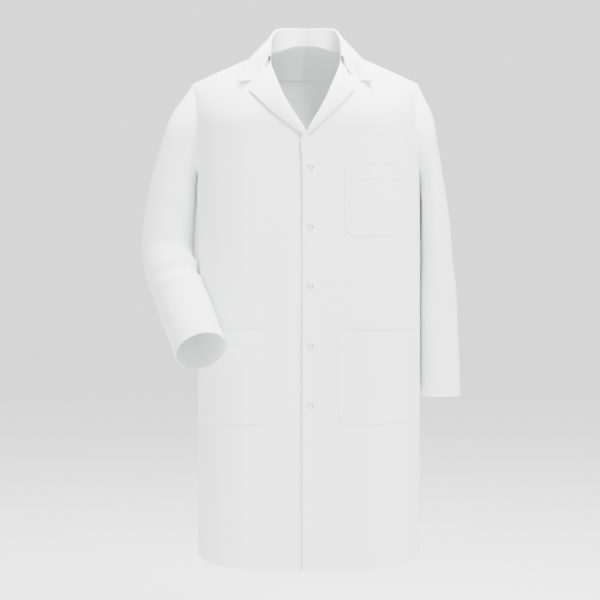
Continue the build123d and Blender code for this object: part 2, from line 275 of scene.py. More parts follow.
def sheet(name, outer, normal, thickness, uv, material, wrap=False):
    """Closed sheet of cloth below a grid of points, with a rounded rim all round.

    With wrap the grid's last column joins its first, as in a tube. The normals are analytic,
    so that two sheets of one piece of cloth meet without a mark.
    """
    inner = outer - thickness * normal
    middle = (outer + inner) / 2
    rows, cols = outer.shape[:2]
    count = rows * cols
    ids = np.arange(count).reshape(rows, cols)
    push = thickness / 2
    low = middle[0] + push * unit(middle[0] - middle[1])
    high = middle[-1] + push * unit(middle[-1] - middle[-2])
    low_out, high_out = unit(middle[0] - middle[1]), unit(middle[-1] - middle[-2])
    if wrap:
        ring = np.concatenate([low, high])
        ring_out = np.concatenate([low_out, high_out])
        ring_uv = np.concatenate([uv[0], uv[-1]])
        first = 2 * count + np.arange(cols)
        last = first + cols
        skins = []
        for base in (ids, ids + count):
            full = np.concatenate([first[None], base, last[None]])
            skins.append(np.concatenate([full, full[:, :1]], axis=1))
    else:
        start = middle[:, 0] + push * unit(middle[:, 0] - middle[:, 1])
        end = middle[:, -1] + push * unit(middle[:, -1] - middle[:, -2])
        pads = np.full((rows + 2, cols + 2, 3), 0.0)
        pads[0, 1:-1], pads[-1, 1:-1], pads[1:-1, 0], pads[1:-1, -1] = low, high, start, end
        for j, jj in ((0, 0), (-1, -1)):
            for i, ii in ((0, 0), (-1, -1)):
                near = (pads[jj, 1 if ii == 0 else -2] + pads[1 if jj == 0 else -2, ii]) / 2
                pads[jj, ii] = near
        edge = np.ones((rows + 2, cols + 2), bool)
        edge[1:-1, 1:-1] = False
        ring_ids = np.full((rows + 2, cols + 2), -1)
        ring_ids[edge] = 2 * count + np.arange(edge.sum())
        ring = pads[edge]
        close = np.clip(np.arange(rows + 2) - 1, 0, rows - 1), np.clip(
            np.arange(cols + 2) - 1, 0, cols - 1)
        ring_out = unit(ring - middle[np.ix_(*close)][edge])
        ring_uv = uv[np.ix_(*close)][edge]
        skins = []
        for base in (ids, ids + count):
            full = ring_ids.copy()
            full[1:-1, 1:-1] = base
            skins.append(full)
    a = outer[1:, :-1] - outer[:-1, :-1]
    b = outer[:-1, 1:] - outer[:-1, :-1]
    flip = np.sum(np.cross(b, a) * normal[:-1, :-1]) < 0
    quads_out, quads_in = grid_faces(skins[0]), grid_faces(skins[1])[:, ::-1]
    quads = np.concatenate([quads_out, quads_in])
    quads = quads[:, ::-1] if flip else quads
    flat = (-1, 3)
    verts = np.concatenate([outer.reshape(flat), inner.reshape(flat), ring])
    vectors = np.concatenate([normal.reshape(flat), -normal.reshape(flat), ring_out])
    shared = np.concatenate([uv.reshape(-1, 2), uv.reshape(-1, 2), ring_uv])
    return make_mesh(name, verts, quads, shared, vectors, material)


def grid_normal(points, hint, wrap=False):
    """Unit normals of a grid of points, on the side of hint."""
    p = np.concatenate([points[:, -1:], points, points[:, :1]], axis=1) if wrap else points
    du = np.gradient(p, axis=1)[:, 1:-1] if wrap else np.gradient(p, axis=1)
    normal = unit(np.cross(du, np.gradient(points, axis=0)))
    return normal * (1.0 if np.sum(normal * hint) > 0 else -1.0)


def arc_uv(points):
    """Cloth coordinates of a grid of points, measured along its rows and columns."""
    across = np.cumsum(np.linalg.norm(np.diff(points, axis=1), axis=2), axis=1)
    along = np.cumsum(np.linalg.norm(np.diff(points, axis=0), axis=2), axis=0)
    across = np.concatenate([np.zeros((len(points), 1)), across], axis=1)
    along = np.concatenate([np.zeros((1, points.shape[1])), along], axis=0)
    return np.stack([across - across.mean(axis=1, keepdims=True), along], -1)


def path_step(path, pitch):
    """Places every pitch along a path of points, with the path's direction there."""
    run = np.concatenate([[0.0], np.cumsum(np.linalg.norm(np.diff(path, axis=0), axis=1))])
    at = np.arange(pitch, run[-1] - pitch, pitch)
    place = np.stack([np.interp(at, run, path[:, k]) for k in range(3)], -1)
    ahead = np.stack([np.interp(at + 0.5, run, path[:, k]) for k in range(3)], -1)
    return place, unit(ahead - place), at, run


def stitches(name, lines, material):
    """Rows of thread along paths, each line given as (points, normals).

    Every stitch is a grain with five rings of six points and a flat cap at each end.
    """
    verts, quads = [], []
    total = 0
    half_width, half_height, sunk = 0.24, 0.17, 0.05
    ring = np.linspace(0, 2 * np.pi, 6, endpoint=False)
    along = np.array([-1.05, -0.8, 0.0, 0.8, 1.05])
    wide = np.array([0.35, 0.85, 1.0, 0.85, 0.35])
    size = len(along) * len(ring)
    ids = np.arange(size).reshape(len(along), len(ring))
    ids = np.concatenate([ids, ids[:, :1]], axis=1)
    caps = np.array([[0, 5, 4, 1], [1, 4, 3, 2], [24, 25, 28, 29], [25, 26, 27, 28]])
    grain = np.concatenate([grid_faces(ids), caps])
    side_way = half_width * wide[:, None] * np.cos(ring)
    up_way = sunk + half_height * wide[:, None] * np.sin(ring)
    for path, normal in lines:
        place, ahead, at, run = path_step(path, cloth_settings().pitch / MM)
        up = unit(np.stack([np.interp(at, run, normal[:, k]) for k in range(3)], -1))
        across = unit(np.cross(up, ahead))
        shape = (place[:, None, None] + ahead[:, None, None] * along[None, :, None, None]
                 + across[:, None, None] * side_way[None, ..., None]
                 + up[:, None, None] * up_way[None, ..., None])
        count = len(place)
        quads.append((grain[None] + size * np.arange(count)[:, None, None]).reshape(-1, 4) + total)
        verts.append(shape.reshape(-1, 3))
        total += size * count
    verts = np.concatenate(verts)
    return make_mesh(name, verts, np.concatenate(quads), verts[:, :2], None, material)


# ---- materials ----

class Field:
    """A socket's output that can be used in sums."""

    def __init__(self, shader, socket):
        self.shader = shader
        self.socket = socket

    def join(self, kind, other):
        return self.shader.node("ShaderNodeMath", operation=kind, Value=self, Value_001=other)

    def __add__(self, other):
        return self.join("ADD", other)

    def __mul__(self, other):
        return self.join("MULTIPLY", other)


class Shader:
    """A material's node tree, filled through one method."""

    def __init__(self, name):
        self.material = bpy.data.materials.new(name)
        self.material.use_nodes = True
        self.tree = self.material.node_tree
        self.principled = self.tree.nodes["Principled BSDF"]

    def node(self, kind, output=0, **values):
        made = self.tree.nodes.new(kind)
        for key, value in values.items():
            if hasattr(made, key) and key.islower():
                setattr(made, key, value)
                continue
            sockets = [s for s in made.inputs if s.identifier == key or s.name == key]
            if sockets:
                self.feed(sockets[0], value)
        return Field(self, made.outputs[output])

    def feed(self, socket, value):
        if isinstance(value, Field):
            self.tree.links.new(value.socket, socket)
        else:
            socket.default_value = value

    def set(self, **values):
        for key, value in values.items():
            self.feed(self.principled.inputs[key.replace("_", " ")], value)
        return self.material


def cloth_material(name, colour):
    """Matte white twill: fine diagonal ribs, and a faint unevenness of the cloth."""
    shader = Shader(name)
    uv = shader.node("ShaderNodeUVMap", uv_map="UVMap")
    turned = shader.node("ShaderNodeMapping", Vector=uv, Rotation=(0.0, 0.0, 1.08))
    ribs = shader.node("ShaderNodeTexWave", output=1, Vector=turned, Scale=210.0,
                       Distortion=0.6, Detail=1.0)
    slub = shader.node("ShaderNodeTexNoise", Vector=uv, Scale=900.0, Detail=2.0)
    soft = shader.node("ShaderNodeTexNoise", Vector=uv, Scale=14.0, Detail=3.0)
    height = ribs * 0.6 + slub * 0.5
    weave = shader.node("ShaderNodeBump", Height=height, Strength=0.35, Distance=0.00012)
    ripple = shader.node("ShaderNodeBump", Height=soft, Strength=0.16, Distance=0.004,
                         Normal=weave)
    tone = shader.node("ShaderNodeMix", output=2, data_type="RGBA",
                       Factor_Float=ribs * 0.35, A_Color=(*colour, 1.0),
                       B_Color=(*(0.9 * c for c in colour), 1.0))
    return shader.set(Base_Color=tone, Roughness=0.86, Normal=ripple, Sheen_Weight=0.12,
                      Sheen_Roughness=0.5, Specular_IOR_Level=0.22)


def metal_material():
    """Nickel plate with a near-black base colour, a painted dark reflection, and a little wear in
    its polish.
    """
    shader = Shader("snap_metal")
    place = shader.node("ShaderNodeTexCoord", output=3)
    wear = shader.node("ShaderNodeTexNoise", Vector=place, Scale=600.0, Detail=3.0)
    # Painted dark reflection: the near-black base colour darkens the silver rings to stand in for
    # the dark surroundings they reflect.
    return shader.set(Base_Color=(0.03, 0.0305, 0.0315, 1.0), Metallic=1.0,
                      Roughness=wear * 0.12 + 0.24)


def material(name):
    """The named material, made at its first use."""
    found = bpy.data.materials.get(name)
    if found:
        return found
    if name == "snap_metal":
        return metal_material()
    if name == "inner_cloth":
        return cloth_material(name, tuple(cloth_settings().inner))
    return cloth_material(name, tuple(cloth_settings().white))


# ---- fronts, back and what is sewn to them ----

def front_blend(obj, side, upper):
    """Bakes the object's transform into its mesh. The hinge line and the slope of a swing are
    worked out, but nothing turns the cloth."""
    run = HINGE_RUN[side]
    hinge = HINGE_X[side]
    share = (hinge - ROLL_STILL[0]) / run
    rise = (ROLL_STILL[1] - SPLIT_Z) / share
    grad = np.array([-side / run, 0.0, -1.0 / rise if upper else 0.0])
    start = np.array([side * hinge, HINGE_Y, SPLIT_Z])
    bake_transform(obj)
    return obj


def front_line(edge, heights, inset, neck_z):
    """Guide points up the front edge at the given heights, then up the roll to the neck."""
    straight = [(edge, z) for z in heights]
    rolled = [(max(edge, x) + inset if z > ROLL_START else edge, z) for x, z in ROLL]
    return straight + rolled + [(NECK_X, neck_z)]


def front_upper_edges(side, u, v):
    """The four edges of the upper front in (s, z): flap line, armhole, shoulder and roll."""
    edge = FRONT_EDGE[side]
    bottom = np.stack([edge + u * (SEAM - edge), np.full_like(u, SPLIT_Z)], -1)
    split = 0.5
    turn = np.pi * (1.0 - np.clip((v - split) / (1 - split), 0, 1))
    arm = armhole(turn)
    seam_part = np.stack([np.full_like(v, SEAM),
                          SPLIT_Z + (UNDERARM_Z - SPLIT_Z) * np.clip(v / split, 0, 1)], -1)
    right = np.where((v < split)[:, None], seam_part, arm)
    left = curve(front_line(edge, (SPLIT_Z, -400, -260), 0, NECK_SIDE_Z), v)
    s = NECK_X + u * (TIP_S - NECK_X)
    top = np.stack([s, shoulder_z(section(s)[0])], -1)
    return bottom, right, top, left


def build_front(side):
    """Front panel of one side, in two meshes that meet at the split height."""
    name = SIDE_NAME[side]
    under = FRONT_UNDER[side]
    u, v = even(84, 0.35), even(110, 0.1)
    grid = coons(*front_upper_edges(side, u, v), u, v)
    s, z = grid[..., 0], grid[..., 1]
    upper = sheet(f"{name}_front_chest", cloth(s, z, side, -1, 0.0, under),
                  cloth_normal(s, z, side, -1, under), CLOTH, grid, material("outer_cloth"))
    u, v = even(96, 0.35), even(84, 0.1)
    s = FRONT_EDGE[side] + (SEAM - FRONT_EDGE[side]) * u[None, :] + 0 * v[:, None]
    z = hem_z(s) + v[:, None] * (SPLIT_Z - hem_z(s))
    lower = sheet(f"{name}_front_skirt", cloth(s, z, side, -1, 0.0, under),
                  cloth_normal(s, z, side, -1, under), CLOTH, np.stack([s, z], -1),
                  material("outer_cloth"))
    front_blend(upper, side, True)
    front_blend(lower, side, False)
    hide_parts(f"{name}_front_top", f"{name}_front_side")
    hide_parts(f"{name}_front")


def build_back(side):
    """Half of the back, from the centre seam to the side seam, armhole and shoulder."""
    name = SIDE_NAME[side]
    u, v = even(84, 0.35), even(190, 0.1)
    bottom = np.stack([CENTRE_S + u * (SEAM - CENTRE_S), hem_z(u * SEAM)], -1)
    split = 0.62
    turn = np.pi * (1.0 - np.clip((v - split) / (1 - split), 0, 1))
    low = hem_z(SEAM)
    seam_part = np.stack([np.full_like(v, SEAM),
                          low + (UNDERARM_Z - low) * np.clip(v / split, 0, 1)], -1)
    right = np.where((v < split)[:, None], seam_part, armhole(turn))
    left = np.stack([np.full_like(v, CENTRE_S), HEM_Z + v * (NECK_BACK_Z - HEM_Z)], -1)
    s = CENTRE_S + u * (TIP_S - CENTRE_S)
    top = np.stack([s, neck_top(s)], -1)
    grid = coons(bottom, right, top, left, u, v)
    s, z = grid[..., 0], grid[..., 1]
    back = sheet(f"{name}_back_panel", cloth(s, z, side, 1), cloth_normal(s, z, side, 1),
                 CLOTH, grid, material("outer_cloth"))
    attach(back, "torso")
    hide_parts(f"{name}_back")


def build_facing(side):
    """Facing inside the front edge, from the hem up to the neck."""
    name = SIDE_NAME[side]
    under = FRONT_UNDER[side]
    u, v = even(12, 0.3), even(180, 0.0)
    edge = FRONT_EDGE[side]
    left = curve(front_line(edge, (-1054, -700, -400, -260), 1, -24), v)
    wide = 72.0 - 38.0 * smooth((left[:, 1] + 260.0) / 240.0)
    s = left[:, :1] + 0.6 + wide[:, None] * u[None, :]
    z = left[:, 1:] + 0 * u[None, :] + 1.5
    z = np.maximum(z, hem_z(s) + 2.0)
    z = np.minimum(z, shoulder_z(section(s)[0]) - 2.0)
    normal = cloth_normal(s, z, side, -1, under)
    obj = sheet(f"{name}_facing", cloth(s, z, side, -1, 0.0, under) - 1.2 * normal, normal,
                LINING, np.stack([s, z], -1), material("inner_cloth"))
    front_blend(obj, side, True)
    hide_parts(f"{name}_front_facing")


def build_lapel(side):
    """Lapel: the cloth rolls outward along the roll line and lies back over the chest."""
    name = SIDE_NAME[side]
    under = FRONT_UNDER[side]
    tip, notch = LAPEL_TIP[side], NOTCH[side]
    top_x, top_z = LAPEL_TOP
    rolled = 0.16
    v = even(70, 0.2)
    u = np.concatenate([np.linspace(0, rolled, 13), rolled + (1 - rolled) * even(34, 0.4)[1:]])
    roll = curve([(x + (2 if side < 0 else 0), z) for x, z in ROLL[:5]] + [LAPEL_TOP], v)
    outer = curve([(-1, -217), (60, -170), tip] if side < 0 else
                  [(-1, -212), (46, -171), tip], v)
    across = unit(outer - roll)
    width = np.linalg.norm(outer - roll, axis=1)[:, None]
    least, most = 0.7, 3.3
    radius = (most - least) * smooth(v / 0.12)[:, None] + least
    arc = np.clip(u / rolled, 0, 1)[None, :] * np.pi
    reach = np.clip((u - rolled) / (1 - rolled), 0, 1)[None, :]
    lateral = -radius * np.sin(arc) + width * reach
    lift = radius * (1 - np.cos(arc)) + 0.6
    spring = 2.2 * np.sin(np.pi * reach) - 1.4 * reach ** 3 * radius / most
    lift = lift + spring * smooth(v * 4)[:, None]
    grid = roll[:, None] + across[:, None] * lateral[..., None]
    peak = (notch[0] - top_x) / (tip[0] - top_x)
    straight = top_z + peak * (tip[1] - top_z)
    lean = np.interp(reach[0], [0, peak, 1], [0, notch[1] + 3.0 - straight, 0])
    grid[..., 1] += lean[None, :] * smooth((v - 0.82) / 0.18)[:, None]
    s, z = grid[..., 0], grid[..., 1]
    points = cloth(s, z, side, -1, lift, under)
    normal = grid_normal(points, np.array([0.0, -1.0, 0.15]))
    obj = sheet(f"{name}_lapel_leaf", points, normal, 1.2, grid, material("outer_cloth"))
    front_blend(obj, side, True)
    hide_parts(f"{name}_lapel")
    thread = stitches(f"{name}_lapel_stitches", [(points[:, -6], normal[:, -6])],
                      material("outer_cloth"))
    front_blend(thread, side, True)


def collar_grid():
    """Grid of the collar, from the neck seam over the fold to the free edge.

    Three guide lines run from the centre of the back to the front: the neck seam, the fold
    and the free edge. The ends follow the gorge seam and then the short edge of the notch.
    """
    stand_share, fall_share, fold_share, radius = 0.31, 0.5, 0.18, 3.4
    w = np.linspace(-1.0, 1.0, 181)
    t = np.abs(w)
    x = np.array([0.0, 18.0, 36.0, 52.0, 66.0])
    back = cloth(x, neck_top(x), 1, 1) + np.array([4.0, -0.6, 0.6])
    seam = curve([*back, (76, 2, -20), (75, -28, -36), (71, -62, -54)], t)
    fold = curve([(0, 60, 37), (36, 51, 36), (56, 33, 30), (64, 12, 17), (68, -12, 1),
                  (69, -36, -18), (69, -66, -43)], t)
    free = curve([(0, 84, -20), (44, 64, -26), (80, 38, -32), (102, 10, -36), (117, -28, -46),
                  (128, -68, -71), (130, -103, -99)], t)
    for line in (seam, fold, free):
        line[:, 0] *= np.sign(w)
    q = np.concatenate([np.linspace(0, 0.3, 12), np.linspace(0.32, 0.48, 12),
                        fall_share + (1 - fall_share) * even(34, 0.35)])
    out = free - fold
    out[:, 2] = 0
    out = unit(out)[:, None]
    up = np.array([0.0, 0.0, 1.0])
    centre = fold[:, None] + radius * out - radius * up
    share = (q / stand_share)[None, :, None]
    stand = seam[:, None] + (centre - radius * out - seam[:, None]) * share
    turn = (np.pi * (1.0 - (q - stand_share) / fold_share))[None, :, None]
    arc = centre + radius * (out * np.cos(turn) + up * np.sin(turn))
    reach = np.clip((q - fall_share) / (1 - fall_share), 0, 1)
    down = reach[None, :, None]
    fall = centre + radius * out + (free[:, None] - centre - radius * out) * down
    fall = fall + (out * 0.8 + up * 0.6) * 3.0 * np.sin(np.pi * down) * (1 - 0.4 * down)
    place = q[None, :, None]
    points = np.where(place <= stand_share, stand,
                      np.where(place < stand_share + fold_share, arc, fall))
    drop = np.interp(reach, [0, 0.1, 0.4, 1], [0, -17.0, -30.0, 0])
    points[..., 2] += drop[None, :] * smooth((t - 0.84) / 0.16)[:, None]
    points[..., 0] -= 3.5
    return points, q


def build_collar():
    """Upper collar over the fold, with its stitches, and the under collar inside it."""
    points, q = collar_grid()
    outside = q > 0.6
    hint = np.zeros_like(points)
    hint[..., 2] = 1.0
    hint[:, outside, :2] = points[:, outside, :2]
    normal = grid_normal(points, hint)
    upper = sheet("collar_upper", points, normal, 1.0, arc_uv(points), material("outer_cloth"))
    first, stitched = 26, -7
    below = points[:, first:] - 1.5 * normal[:, first:]
    under = sheet("collar_under", below, normal[:, first:], CLOTH, arc_uv(below),
                  material("outer_cloth"))
    thread = stitches("collar_stitches", [(points[:, stitched], normal[:, stitched])],
                      material("outer_cloth"))
    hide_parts("upper_collar")
    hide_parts("under_collar")
    for obj in (upper, under, thread):
        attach(obj, "torso")


def build_neck_facing():
    """Facing inside the back of the neck, across the centre seam."""
    half, low, below_seam = 66, -64.0, 2.0
    s = np.linspace(-half, half, 67)[None, :]
    z = low + np.linspace(0, 1, 26)[:, None] * (neck_top(np.abs(s)) - below_seam - low)
    middle = 33
    points = np.concatenate([cloth(-s[:, :middle], z[:, :middle], -1, 1),
                             cloth(s[:, middle:], z[:, middle:], 1, 1)], axis=1)
    normal = grid_normal(points, np.array([0.0, 1.0, 0.3]))
    facing = sheet("neck_facing", points - 1.4 * normal, normal, LINING, arc_uv(points),
                   material("inner_cloth"))
    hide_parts("back_neck_facing")
    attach(facing, "torso")


# Side, inner and outer edge, top and bottom, clipped corner, room inside, whether it lies
# above the split of the fronts, and the nodes it shows
Pocket = namedtuple("Pocket", "side start end top bottom clip room upper nodes")
POCKETS = {
    "chest": Pocket(1, 70.0, 176.0, -270.7, -406.0, 12.0, 2.2, True, ("chest_pocket",)),
    "left_hip": Pocket(1, 57.0, 235.0, -592.0, -769.0, 15.0, 4.5, False, ("left_pocket",)),
    "right_hip": Pocket(-1, 72.0, 250.0, -590.0, -769.0, 15.0, 3.2, False,
                        ("right_pocket", "right_pocket_side")),
}
POCKET_HEM = 28.0


def build_pocket(key):
    """Patch pocket with clipped lower corners, a turned hem along its mouth and stitches."""
    pocket = POCKETS[key]
    side, top, bottom = pocket.side, pocket.top, pocket.bottom
    width, height = pocket.end - pocket.start, top - bottom
    under = FRONT_UNDER[side]
    u, v = even(60, 0.4), even(60, 0.4)
    z = bottom + height * v[:, None] + 0 * u[None, :]
    cut = np.clip(pocket.clip - v[:, None] * height, 0, None)
    s = pocket.start + cut + (width - 2 * cut) * u[None, :]
    hem = smooth((z - top + POCKET_HEM) / 2.0)
    belly = np.sin(np.pi * u[None, :]) ** 0.8 * smooth(v[:, None] * 1.6) ** 1.3
    lift = 1.5 + pocket.room * belly + 0.6 * hem - 0.5 * bump(z, top - POCKET_HEM, 1.6)
    points = cloth(s, z, side, -1, lift, under)
    normal = grid_normal(points, np.array([0.25 * side, -1.0, 0.0]))
    obj = sheet(f"{key}_pocket_patch", points, normal, CLOTH, np.stack([s, z], -1),
                material("outer_cloth"))
    lines = []
    for inset in (2.0, 8.0):
        column = int(np.argmin(np.abs(u * width - inset)))
        lines.append((points[:, column], normal[:, column]))
        lines.append((points[:, -1 - column], normal[:, -1 - column]))
        row = int(np.argmin(np.abs(v * height - inset)))
        lines.append((points[row], normal[row]))
    row = int(np.argmin(np.abs(v * height - (height - POCKET_HEM + 1.0))))
    lines.append((points[row], normal[row]))
    thread = stitches(f"{key}_pocket_stitches", lines, material("outer_cloth"))
    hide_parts(*pocket.nodes)
    for item in (obj, thread):
        front_blend(item, side, pocket.upper)


def build_front_stitches(side):
    """Topstitching beside the front edge and round the lapel, and the hem's line."""
    name = SIDE_NAME[side]
    under = FRONT_UNDER[side]
    z = np.linspace(-1050, -222, 300)
    s = np.full_like(z, FRONT_EDGE[side] + 6.0)
    edge = stitches(f"{name}_edge_stitches",
                    [(cloth(s, z, side, -1, 0, under), cloth_normal(s, z, side, -1, under))],
                    material("outer_cloth"))
    front_blend(edge, side, True)
    s = np.linspace(FRONT_EDGE[side] + 2, SEAM - 1, 200)
    z = hem_z(s) + HEM_STITCH
    hem = stitches(f"{name}_front_hem_stitches",
                   [(cloth(s, z, side, -1, 0, under), cloth_normal(s, z, side, -1, under))],
                   material("outer_cloth"))
    front_blend(hem, side, False)
    s = np.linspace(1, SEAM - 1, 200)
    z = hem_z(s) + HEM_STITCH
    back = stitches(f"{name}_back_hem_stitches",
                    [(cloth(s, z, side, 1), cloth_normal(s, z, side, 1))],
                    material("outer_cloth"))
    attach(back, "torso")


# ---- sleeves ----

def armhole_loop(side, turn):
    """Points of the armhole edge for angles from the shoulder tip, forward and round."""
    inner = np.where(turn <= np.pi, turn, 2 * np.pi - turn)
    edge = armhole(inner)
    front = cloth(edge[:, 0], edge[:, 1], side, -1)
    back = cloth(edge[:, 0], edge[:, 1], side, 1)
    return np.where((turn <= np.pi)[:, None], front, back)


def oval(centre, out, front, r_out, r_front, turn):
    """Oval ring with its half axes along out and front."""
    out, front = unit(np.array(out, float)), np.array(front, float)
    front = unit(front - out * np.dot(front, out))
    return (np.array(centre, float) + r_out * np.cos(turn)[:, None] * out
            + r_front * np.sin(turn)[:, None] * front)


# Rings down each sleeve: centre, directions of its two half axes, and the half axes
LEFT_RINGS = [
    ((238, 1, -218), (24, 0, 95), (0, -1, 0), 66, 63),
    ((246, 3, -258), (40, 0, 82), (0, -1, 0), 47, 63),
    ((253, 4, -318), (40, 0, 30), (0, -1, 0), 33, 64),
    ((259, 5, -380), (1, 0, 0.1), (0, -1, 0), 32, 63),
    ((262, 7, -430), (1, 0, 0), (0, -1, 0), 33, 62),
    ((265, 8, -500), (1, 0, 0), (0, -1, 0), 36, 60),
    ((268, 9, -610), (1, 0, 0), (0, -1, 0), 39, 58),
    ((271, 10, -724), (1, 0, 0), (0, -1, 0), 42, 56),
]
RIGHT_RINGS = [
    ((-247, 1, -212), (-34, 0, 90), (0, -1, 0), 70, 63),
    ((-262, 3, -256), (-60, 0, 78), (0, -1, 0), 58, 64),
    ((-273, 4, -312), (-50, 0, 22), (0, -1, 0), 53, 63),
    ((-281, 4, -368), (-1, 0, 0), (0, -1, 0.05), 53, 60),
    ((-284, 0, -425), (-1, -0.05, 0), (0.05, -0.97, 0.2), 52, 59),
    ((-276, -28, -466), (-0.95, -0.3, 0), (0.2, -0.8, 0.5), 50, 59),
    ((-261, -64, -502), (-0.92, -0.4, 0), (0.28, -0.66, 0.69), 50, 58),
    ((-240, -112, -546), (-0.909, -0.417, 0), (0.293, -0.639, 0.711), 50, 56),
    ((-222, -144, -586), (-0.909, -0.417, 0), (0.293, -0.639, 0.711), 50, 54),
    ((-204, -176, -627), (-0.909, -0.417, 0), (0.293, -0.639, 0.711), 50, 52),
]


# Rows of a sleeve, the row where its two meshes meet, and those of the cuff's hem
SLEEVE_ROWS, SLEEVE_COLUMNS = 260, 96
SLEEVE_CUT = {1: 118, -1: 112}
CUFF_ROWS, CUFF_STITCH_ROW = 14, -11
BODY_GAP = 5.0


def sleeve_folds(side, turn, run):
    """Folds of the sleeve, in millimetres off the cloth, along run millimetres of it."""
    t, r = turn[None, :], run
    ends = smooth((r - 8.0) / 40.0) * smooth((r.max() - r) / 60.0)
    if side > 0:
        cap = 1.6 * np.cos(3 * t + r / 40.0) * bump(r, 60.0, 60.0)
        mid = 2.2 * np.sin(2 * t + r / 46.0) * bump(r, 330.0, 70.0)
        low = 1.6 * np.sin(2 * t - r / 70.0 + 1.0) * smooth((r - 250) / 200)
        return (cap + mid + low) * ends
    inside = smooth((np.cos(t - 1.9) + 0.25) / 1.0)
    crease = (np.sin((r - 14 * np.cos(t - 1.2)) / 9.5) * 3.0
              + np.sin((r + 9 * np.sin(2 * t)) / 15.0) * 2.0) * bump(r, 352.0, 48.0) * inside
    drag = 2.2 * np.sin(2 * t + r / 34.0) * bump(r, 280.0, 80.0)
    cap = 1.7 * np.cos(3 * t - r / 38.0) * bump(r, 70.0, 60.0)
    low = 1.5 * np.sin(2 * t - r / 40.0) * smooth((r - 400) / 100)
    return (crease + drag + cap + low) * ends


def clear_of_body(points, gap):
    """Moves points below the armhole outward until they lie off the body's cloth."""
    x, y, z = points[..., 0], points[..., 1], points[..., 2]
    qx = np.maximum(np.abs(x) - FLAT - 2.0 * np.sign(x), 1.0)
    qy = np.maximum(np.abs(y) - SIDE, 0.0)
    r = np.hypot(qx, qy)
    need = CORNER + gap
    soft = need + np.logaddexp(0.0, (r - need) / 2.5) * 2.5
    weight = smooth((-292.0 - z) / 50.0)
    scale = 1.0 + (soft / r - 1.0) * weight
    moved = points.copy()
    moved[..., 0] = np.sign(x) * (FLAT + 2.0 * np.sign(x) + qx * scale)
    moved[..., 1] = y + np.sign(y) * qy * (scale - 1.0)
    return moved


def sleeve_points(side, rows, cols):
    """Grid of the sleeve from the armhole to the cuff, its normals and cloth coordinates."""
    turn = np.linspace(0, 2 * np.pi, cols, endpoint=False)
    specs = LEFT_RINGS if side > 0 else RIGHT_RINGS
    rings = np.stack([armhole_loop(side, turn)] + [oval(*spec, turn) for spec in specs])
    centres = rings.mean(axis=1)
    run = np.concatenate([[0], np.cumsum(np.linalg.norm(np.diff(centres, axis=0), axis=1))])
    slope = np.gradient(rings, run, axis=0)
    at = np.linspace(0, run[-1], rows)
    k = np.clip(np.searchsorted(run, at, side="right") - 1, 0, len(run) - 2)
    width = (run[k + 1] - run[k])[:, None, None]
    h = (at - run[k])[:, None, None] / width
    step = h * h * (3 - 2 * h)
    points = ((1 - step) * rings[k] + step * rings[k + 1]
              + h * (1 - h) ** 2 * width * slope[k] + h * h * (h - 1) * width * slope[k + 1])
    middle = points.mean(axis=1, keepdims=True)
    normal = grid_normal(points, points - middle, True)
    points = points + sleeve_folds(side, turn, at[:, None])[..., None] * normal
    points = clear_of_body(points, BODY_GAP)
    normal = grid_normal(points, points - middle, True)
    girth = np.linalg.norm(np.diff(points, axis=1, append=points[:, :1]), axis=2).sum(axis=1)
    uv = np.stack(np.broadcast_arrays(turn[None] / (2 * np.pi) * girth.mean(), at[:, None]), -1)
    return points, normal, uv


def build_sleeve(side):
    """Sleeve in two meshes, its turned cuff hem and the hem's stitches."""
    name = SIDE_NAME[side]
    points, normal, uv = sleeve_points(side, SLEEVE_ROWS, SLEEVE_COLUMNS)
    cut = SLEEVE_CUT[side]
    upper = sheet(f"{name}_sleeve_top", points[:cut + 1], normal[:cut + 1], CLOTH, uv[:cut + 1],
                  material("outer_cloth"), True)
    lower = sheet(f"{name}_sleeve_bottom", points[cut:], normal[cut:], CLOTH, uv[cut:],
                  material("outer_cloth"), True)
    inner = points[-CUFF_ROWS:] - 1.2 * normal[-CUFF_ROWS:]
    band = sheet(f"{name}_cuff_band", inner, normal[-CUFF_ROWS:], LINING, uv[-CUFF_ROWS:],
                 material("inner_cloth"), True)
    ring, ring_normal = (np.concatenate([grid[CUFF_STITCH_ROW], grid[CUFF_STITCH_ROW][:1]])
                         for grid in (points, normal))
    thread = stitches(f"{name}_cuff_stitches", [(ring, ring_normal)], material("outer_cloth"))
    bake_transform(upper)
    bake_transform(lower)
    for obj in (band, thread):
        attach(obj, f"{name}_lower_sleeve")
    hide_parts(f"{name}_sleeve_head", f"{name}_sleeve_upper")
    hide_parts(f"{name}_sleeve_elbow", f"{name}_sleeve_lower")
    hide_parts(f"{name}_cuff_hem")


# ---- snaps ----

def lathe(profile, places, count=40):
    """Closed shapes turned about the front-to-back line at each (x, y, z) place."""
    profile = np.array(profile, float)
    turn = np.linspace(0, 2 * np.pi, count, endpoint=False)
    shape = stack(profile[:, :1] * np.cos(turn), profile[:, 1:] + 0 * turn,
                  profile[:, :1] * np.sin(turn))
    ids = np.arange(len(profile) * count).reshape(len(profile), count)
    ids = np.concatenate([ids, ids[:, :1]], axis=1)
    ids = np.concatenate([ids, ids[:1]], axis=0)
    one = grid_faces(ids)
    verts = (np.array(places)[:, None] + shape.reshape(1, -1, 3)).reshape(-1, 3)
    quads = (one[None] + shape[..., 0].size * np.arange(len(places))[:, None, None]).reshape(
        -1, 4)
    return verts, quads


def ring_profile(r_in, r_out, y0, y1, n=18):
    """Rounded section of a ring between two radii and two depths."""
    a = np.linspace(0, 2 * np.pi, n, endpoint=False)
    mid, half = (r_in + r_out) / 2, (r_out - r_in) / 2
    round_off = np.sign(np.cos(a)) * np.abs(np.cos(a)) ** 0.75
    return np.stack([mid + half * round_off, (y0 + y1) / 2 + (y1 - y0) / 2 * np.sin(a)], -1)


